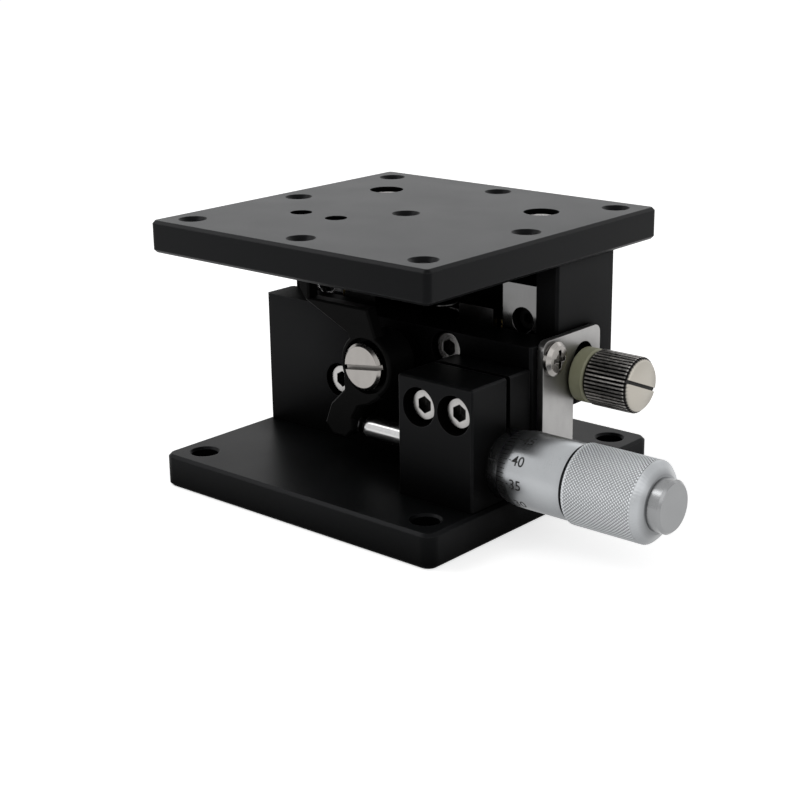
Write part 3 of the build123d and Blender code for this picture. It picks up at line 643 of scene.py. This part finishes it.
def make_thimble_lines(material):
    """Fifty lines on the bevel, every fifth one longer, spaced evenly round the thimble."""
    number = np.arange(divisions)
    angles = first_number_angle + number * TURN / divisions
    reach = np.where(number % divisions_per_number == 0, long_line, short_line)
    stations = edge_x + line_start + reach[:, None] * line_shares

    def surface_radius(x):
        slope = (band_r - bevel_r) / bevel_length
        return np.minimum(band_r, bevel_r + (x - edge_x) * slope)

    strips("thimble_lines", stations, angles, line_half_width, surface_radius, line_proud,
           "thimble", material)


digit_size = 2.3 * MM
digit_relief = 0.014 * MM
digit_swell = 0.022 * MM
digit_middle = 3.85 * MM
digit_cuts = np.linspace(-0.9 * MM, 0.9 * MM, 13)


def flat_number(value):
    """A mesh of a number's flat text, cut into thin slices so that it can be bent."""
    curve = bpy.data.curves.new("number", "FONT")
    curve.body = str(value)
    curve.size = digit_size
    curve.extrude = digit_relief
    curve.offset = digit_swell
    curve.align_x = "CENTER"
    curve.align_y = "CENTER"
    curve.resolution_u = 4
    flat = bpy.data.objects.new("number", curve)
    bpy.context.scene.collection.objects.link(flat)
    bpy.context.view_layer.update()
    mesh = bpy.data.meshes.new_from_object(flat)
    bpy.data.objects.remove(flat)
    work = bmesh.new()
    work.from_mesh(mesh)
    for height in digit_cuts:
        everything = work.verts[:] + work.edges[:] + work.faces[:]
        place = {"plane_co": (0, height, 0), "plane_no": (0, 1, 0)}
        bmesh.ops.bisect_plane(work, geom=everything, **place)
    bmesh.ops.triangulate(work, faces=work.faces[:])
    work.to_mesh(mesh)
    work.free()
    return mesh


def make_numbers(material):
    """The numbers 0 to 45 round the thimble: flat text bent round the band, reading along X."""
    count = divisions // divisions_per_number
    for step in range(count):
        value = (first_number + divisions_per_number * step) % divisions
        mesh = flat_number(value)
        flat_points = np.empty(len(mesh.vertices) * 3)
        mesh.vertices.foreach_get("co", flat_points)
        u, v, w = flat_points.reshape(-1, 3).T
        angle = first_number_angle + step * (TURN / count) + v / band_r
        x = edge_x + digit_middle + u
        mesh.vertices.foreach_set("co", about_x(x, band_r + w, angle, mic_centre).ravel())
        mesh.update()
        piece = bpy.data.objects.new(f"thimble_number_{value}", mesh)
        bpy.context.scene.collection.objects.link(piece)
        mesh.materials.clear()
        mesh.materials.append(material)
        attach(piece, "thimble")


# Micrometer sleeve

sleeve_low, sleeve_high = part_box("micrometer_sleeve")
sleeve_r = (sleeve_high.y - sleeve_low.y) / 2
bracket_face_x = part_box("micrometer_bracket")[1].x
index_angle = math.radians(24.0)
index_half_width = 0.05 * MM
sleeve_proud = 0.006 * MM
mark_count = 24
mark_pitch = 0.5 * MM
mark_half_width = 0.045 * MM
first_mark = 0.35 * MM
marks_per_long = 10
long_mark = 1.1 * MM
short_mark = 0.75 * MM


def make_sleeve_scale(material):
    """The sleeve's index line, and half-millimetre marks on both sides of it in turn."""
    def surface_radius(x):
        return np.full_like(x, sleeve_r)

    line = np.linspace(bracket_face_x + 0.1 * MM, sleeve_high.x - 0.4 * MM, 4)[None, :]
    strips("sleeve_index_line", line, np.array([index_angle]), index_half_width, surface_radius,
           sleeve_proud, "base", material)
    number = np.arange(mark_count)
    start = bracket_face_x + first_mark + number * mark_pitch
    long = np.where(number % marks_per_long == 0, long_mark, short_mark)
    middle = index_angle + np.where(number % 2 == 0, 1, -1) * long / 2 / sleeve_r
    bent = np.linspace(-0.5, 0.5, 5)
    across = middle[:, None, None] + (long[:, None, None] * bent[None, :, None]) / sleeve_r
    lift = np.array([mark_root, mark_root, sleeve_proud, sleeve_proud])
    x = start[:, None, None] + np.array([-1, 1, 1, -1]) * mark_half_width
    points = about_x(x, sleeve_r + lift, across, mic_centre)
    faces = bar_faces(mark_count, bent.size)[:, ::-1]
    new_piece("sleeve_marks", points, faces, "base", material)


# Thumb screw

knob_low, knob_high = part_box("lock_thumb_screw")
knob_centre = ((knob_low.y + knob_high.y) / 2, (knob_low.z + knob_high.z) / 2)
knob_r = (knob_high.y - knob_low.y) / 2
knob_x = knob_high.x - 8.6 * MM
knob_teeth = 44
steps_per_tooth = 6
knob_tooth_depth = 0.27 * MM
knob_valley_r = knob_r - knob_tooth_depth
tooth_gain = 1.5
knob_rim = 0.55 * MM
knob_back_drop = 0.45 * MM
knob_edge = 0.25 * MM
knob_edge_drop = 0.5 * MM
knob_face_drop = 0.8 * MM
shank_r = 1.5 * MM
shank_ease = 0.2 * MM
slot_width = 0.6 * MM
slot_depth = 0.6 * MM
slot_lean = math.radians(-22.0)
knob_sharp = 40.0


def slot_cutter():
    """A bar across the thumb screw's end face, as wide and as deep as its slot."""
    mesh = bpy.data.meshes.new("slot_cutter")
    half = Vector((slot_depth, 2 * knob_r, slot_width / 2))
    work = bmesh.new()
    bmesh.ops.create_cube(work, size=2.0)
    bmesh.ops.scale(work, vec=half, verts=work.verts[:])
    bmesh.ops.transform(work, matrix=Matrix.Rotation(slot_lean, 4, "X"), verts=work.verts[:])
    bmesh.ops.translate(work, vec=(knob_high.x, *knob_centre), verts=work.verts[:])
    work.to_mesh(mesh)
    work.free()
    cutter = bpy.data.objects.new("slot_cutter", mesh)
    bpy.context.scene.collection.objects.link(cutter)
    return cutter


def make_knob(material):
    """The thumb screw: a turned head with straight teeth, closed by poles, and a slot cut in it.

    A point is (x, radius, angle). Between the head's two rims the radius drops by the tooth depth
    times one minus a flat-topped triangle wave of the angle.
    """
    columns = knob_teeth * steps_per_tooth
    angle = np.arange(columns) / columns * TURN
    front = [
        (knob_low.x, 0), (knob_low.x, shank_r - shank_ease), (knob_low.x + shank_ease, shank_r),
        (knob_x, shank_r), (knob_x, knob_r - knob_back_drop),
    ]
    back = [
        (knob_high.x - knob_edge, knob_r - knob_edge_drop),
        (knob_high.x, knob_r - knob_face_drop), (knob_high.x, 0),
    ]
    teeth_x = np.linspace(knob_x + knob_rim, knob_high.x - knob_rim - knob_edge, 24)
    height = np.minimum(1.0, tooth_gain * wave(angle / TURN * knob_teeth))
    drop = knob_tooth_depth * (1 - height)[None, :]
    points = turned(front, teeth_x, knob_r, back, angle, drop, knob_centre)
    faces = grid_faces(len(points), columns, close_rows=False)
    knob = new_piece("thumb_screw_knurled", points, faces, "thumb_screw", material, knob_sharp)
    work = bmesh.new()
    work.from_mesh(knob.data)
    bmesh.ops.remove_doubles(work, verts=work.verts[:], dist=0.0005 * MM)
    work.to_mesh(knob.data)
    work.free()
    cutter = slot_cutter()
    cut = knob.modifiers.new("slot", "BOOLEAN")
    cut.operation = "DIFFERENCE"
    cut.solver = "EXACT"
    cut.object = cutter
    bpy.context.view_layer.update()
    whole = knob.evaluated_get(bpy.context.evaluated_depsgraph_get())
    slotted = bpy.data.meshes.new_from_object(whole)
    knob.modifiers.clear()
    knob.data = slotted
    bpy.data.objects.remove(cutter)
    slotted.shade_smooth()
    slotted.set_sharp_from_angle(angle=math.radians(knob_sharp))
    return knob


# Threads in the top plate

plate_low, plate_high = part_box("top_plate")
hole_pitch = 25 * MM
hole_rows = (-1, 0, 1)
tapping_r = 1.65 * MM
thread_pitch = 0.7 * MM
thread_depth = 0.16 * MM
thread_gap = 0.03 * MM
wall_gap = 0.01 * MM
thread_fade = 0.4 * MM
thread_columns = 32
thread_rows = 64


def make_plate_threads(material):
    """Threads in the nine tapped holes of the top plate, each a ring of revolution round Z.

    A point is (height, radius, angle). The inner radius is a little less than the hole's, less
    the thread's depth times a triangle wave of the height in pitches less the angle in turns. The
    ring is closed by a plain outer wall just inside the hole's.
    """
    angle = np.arange(thread_columns) / thread_columns * TURN
    low = plate_low.z + 0.15 * MM
    high = plate_high.z - 0.8 * MM
    z = np.linspace(low, high, thread_rows)
    fade = np.minimum(1.0, np.minimum(z - low, high - z) / thread_fade)[:, None]
    tooth = wave(z[:, None] / thread_pitch - angle[None, :] / TURN)
    inner = tapping_r - thread_gap - thread_depth * tooth * fade
    outer = np.full((1, thread_columns), tapping_r - wall_gap)
    radius = np.vstack([inner, outer, outer])
    height = np.concatenate([z, [high, low]])[:, None]
    ring = (radius * np.cos(angle), radius * np.sin(angle), height)
    ring = np.stack(np.broadcast_arrays(*ring), axis=-1)
    holes = np.array([(x, y, 0) for x in hole_rows for y in hole_rows]) * hole_pitch
    points = ring[None] + holes[:, None, None, :]
    faces = grid_faces(len(ring), thread_columns, close_rows=True)[:, ::-1]
    faces = repeated(faces, len(holes), len(ring) * thread_columns)
    return new_piece("top_plate_threads", points, faces, "table", material)


# Studio

camera_azimuth = 41.29
camera_elevation = 17.633
camera_roll = -0.785
camera_target = Vector((0, 0, 25 * MM))
camera_right, camera_up, camera_back = -1.27 * MM, -10.64 * MM, 277.243 * MM
focal_pixels = 1623.669
photo_pixels = 800
sensor_width = 36.0


def photo_camera():
    """The photograph's camera: looking down at the stage from its front right corner."""
    angles = (camera_azimuth, camera_elevation, camera_roll)
    azimuth, elevation, roll = (math.radians(value) for value in angles)
    back = Vector((math.sin(azimuth) * math.cos(elevation),
                   -math.cos(azimuth) * math.cos(elevation),
                   math.sin(elevation)))
    level = Vector((math.cos(azimuth), math.sin(azimuth), 0))
    upright = back.cross(level)
    right = math.cos(roll) * level + math.sin(roll) * upright
    up = math.cos(roll) * upright - math.sin(roll) * level
    eye = camera_target + right * camera_right + up * camera_up + back * camera_back
    data = bpy.data.cameras.new("photo_camera")
    data.sensor_width = sensor_width
    data.lens = sensor_width * focal_pixels / photo_pixels
    data.clip_start = 5 * MM
    data.clip_end = 20.0
    camera = bpy.data.objects.new("photo_camera", data)
    turned_to = Matrix((right, up, back)).transposed().to_4x4()
    camera.matrix_world = Matrix.Translation(eye) @ turned_to
    bpy.context.scene.collection.objects.link(camera)
    bpy.context.scene.camera = camera
    return camera


def softbox(name, spot, size, power, aim=(0.01, 0.0, 0.02)):
    """A square lamp at spot, turned towards aim, which is near the stage's middle."""
    data = bpy.data.lights.new(name, "AREA")
    data.size = size
    data.energy = power
    lamp = bpy.data.objects.new(name, data)
    lamp.location = spot
    lamp.rotation_euler = (Vector(aim) - Vector(spot)).to_track_quat("-Z", "Y").to_euler()
    bpy.context.scene.collection.objects.link(lamp)
    return lamp


def seen_rays(f):
    """1 for rays that look straight, by reflection or through glass, and 0 for diffuse light."""
    straight, glossy, through = (f.node("ShaderNodeLightPath", output=name) for name in (
        "Is Camera Ray", "Is Glossy Ray", "Is Transmission Ray"))
    clamped = {"operation": "ADD", "use_clamp": True}
    return f.node("ShaderNodeMath", clamped, {0: straight + glossy, 1: through})


sky_light = 0.45
floor_white = (0.86, 0.86, 0.86, 1)
floor_glow = 0.64
floor_reach = 3.0
floor_gap = 0.02 * MM


def studio():
    """White surroundings, a pale floor and soft lamps.

    The sky is full white where it is seen and weaker as light on matt faces, and the floor's glow
    is there only where it is seen.
    """
    world = bpy.data.worlds.new("studio")
    bpy.context.scene.world = world
    world.use_nodes = True
    f = Finish(world.node_tree)
    strength = sky_light + (1 - sky_light) * seen_rays(f)
    lit = f.node("ShaderNodeBackground", inputs={"Color": (1, 1, 1, 1), "Strength": strength})
    f.node("ShaderNodeOutputWorld", inputs={"Surface": lit})

    material, f = new_finish("floor_paper")
    matt = f.node("ShaderNodeBsdfDiffuse", inputs={"Color": floor_white})
    glow = f.node("ShaderNodeEmission", inputs={"Strength": floor_glow * seen_rays(f)})
    both = f.node("ShaderNodeAddShader", inputs={0: matt, 1: glow})
    f.node("ShaderNodeOutputMaterial", inputs={"Surface": both})
    mesh = bpy.data.meshes.new("floor")
    signs = ((-1, -1), (1, -1), (1, 1), (-1, 1))
    corners = [(x * floor_reach, y * floor_reach, 0) for x, y in signs]
    mesh.from_pydata(corners, [], [(0, 1, 2, 3)])
    mesh.materials.append(material)
    floor = bpy.data.objects.new("floor", mesh)
    floor.location.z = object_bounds()[0][2] - floor_gap
    bpy.context.scene.collection.objects.link(floor)
    lamps = [
        softbox("key_softbox", (-0.34, -0.20, 0.45), size=0.26, power=0.75),
        softbox("right_softbox", (0.50, -0.15, 0.35), size=0.40, power=0.35),
        softbox("back_softbox", (0.05, 0.50, 0.40), size=0.40, power=0.35),
    ]
    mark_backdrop(floor, photo_camera(), *lamps)
    bpy.context.scene.view_settings.view_transform = "Standard"


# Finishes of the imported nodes: a name, a shade and a roughness, and nickel's warmth after them

blasted = {"grain": 0.10 * MM, "specular": 0.07, "shade_reach": 12 * MM, "start": 0.88}
smooth_wall = {"grain": 0.07 * MM, "specular": 0.07, "shade_reach": 15 * MM, "start": 0.97}
tapped = {"grain": 0.05 * MM, "specular": 0.5, "shade_reach": 0.6 * MM, "start": 0.7}
base_black = anodised("base_black_blasted", 0.0045, 0.36, **blasted)
# The top plate's faces that look up get a painted sheen.
top_black = anodised("top_black_blasted", 0.0045, 0.36, **blasted, top_sheen=0.062)
wall_black = anodised("wall_black_anodised", 0.0035, 0.38, **smooth_wall)
# Painted highlight: the threads are lighter than the plate's black so that they catch light.
lit_thread_black = anodised("thread_black_anodised", 0.04, 0.30, **tapped)
lever_black = blackened_steel("lever_black_steel", 0.002, 0.40, specular=0.03)
socket_black = blackened_steel("screw_black_oxide", 0.012, 0.36, specular=0.35)
# The moving rails' left side gets a painted reflection.
rail_steel = ground_metal("rail_ground_steel", 0.16, 0.13, stretch=(1, 1, 26), left=0.97)
# Painted shade: the fixed rails get a darker copy of the rail steel.
shaded_inner_rail_steel = ground_metal("inner_rail_shaded_steel", 0.035, 0.22, stretch=(1, 1, 26))
spindle_steel = ground_metal("spindle_ground_steel", 0.60, 0.20, stretch=(1, 22, 22))
# Painted shade: the springs' steel is given a dark shade.
shaded_spring_wire = ground_metal("spring_drawn_wire", 0.10, 0.25, stretch=(1, 1, 1))
ball_steel = plated("ball_polished_steel", 0.62, 0.12, warmth=0.0)
bright_nickel = plated("screw_bright_nickel", 0.31, 0.20, warmth=0.05)
sheet_nickel = plated("sheet_matt_nickel", 0.36, 0.33, warmth=0.015)
column_nickel = plated("column_screw_nickel", 0.50, 0.22, 0.02, ("fixed_rail_screws", (0, 1, 0)))
bracket_nickel = plated("bracket_screw_nickel", 0.50, 0.22, 0.02, ("bracket_screws", (0, 1, 0)))
# Painted light: the top plate's screws get a lighter shade than the same screws elsewhere.
lit_top_nickel = plated("top_screw_nickel", 0.85, 0.50, 0.02, ("top_plate_screws", (0, 0, -1)))
satin_chrome = satin_plate("micrometer_satin_chrome", 0.27, 0.24)
knurl_chrome = knurled_chrome("thimble_knurl_chrome", 0.44, grip_shade=0.78, roughness=0.30)
washer_nylon = nylon("washer_ivory_nylon")
cage_brass = turned_brass("cage_brass")
ink = filled_ink("mark_black_ink")
knob_nickel = knurled_nickel("knob_knurled_nickel")

finish_of = {
    "base_plate": base_black,
    "top_plate": top_black,
    "fixed_column": wall_black,
    "moving_block": wall_black,
    "micrometer_bracket": wall_black,
    "lever": lever_black,
    "base_screws": socket_black,
    "moving_rail_screws": socket_black,
    "contact_pad_screws": socket_black,
    "fixed_rails": shaded_inner_rail_steel,
    "moving_rails": rail_steel,
    "contact_pad": rail_steel,
    "rollers": ball_steel,
    "lever_tip_ball": ball_steel,
    "lever_foot_button": ball_steel,
    "micrometer_spindle": spindle_steel,
    "lower_spring_pins": spindle_steel,
    "upper_spring_pins": spindle_steel,
    "fixed_rail_screws": column_nickel,
    "bracket_screws": bracket_nickel,
    "lever_pivot_screw": bright_nickel,
    "top_plate_screws": lit_top_nickel,
    "lock_plate_screws": bright_nickel,
    "lock_thumb_screw": knob_nickel,
    "lock_plate": sheet_nickel,
    "micrometer_sleeve": satin_chrome,
    "micrometer_thimble": satin_chrome,
    "thimble_end_cap": satin_chrome,
    "return_springs": shaded_spring_wire,
    "lock_washer": washer_nylon,
    "roller_cages": cage_brass,
    "lever_bush": cage_brass,
}
for node_name, material in finish_of.items():
    node = frame["nodes"][node_name]
    node.data.materials.clear()
    node.data.materials.append(material)

thimble = make_thimble(knurl_chrome)
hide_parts("micrometer_thimble")
make_thimble_lines(ink)
make_numbers(ink)
make_sleeve_scale(ink)
knob = make_knob(knob_nickel)
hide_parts("lock_thumb_screw")
threads = make_plate_threads(lit_thread_black)
studio()
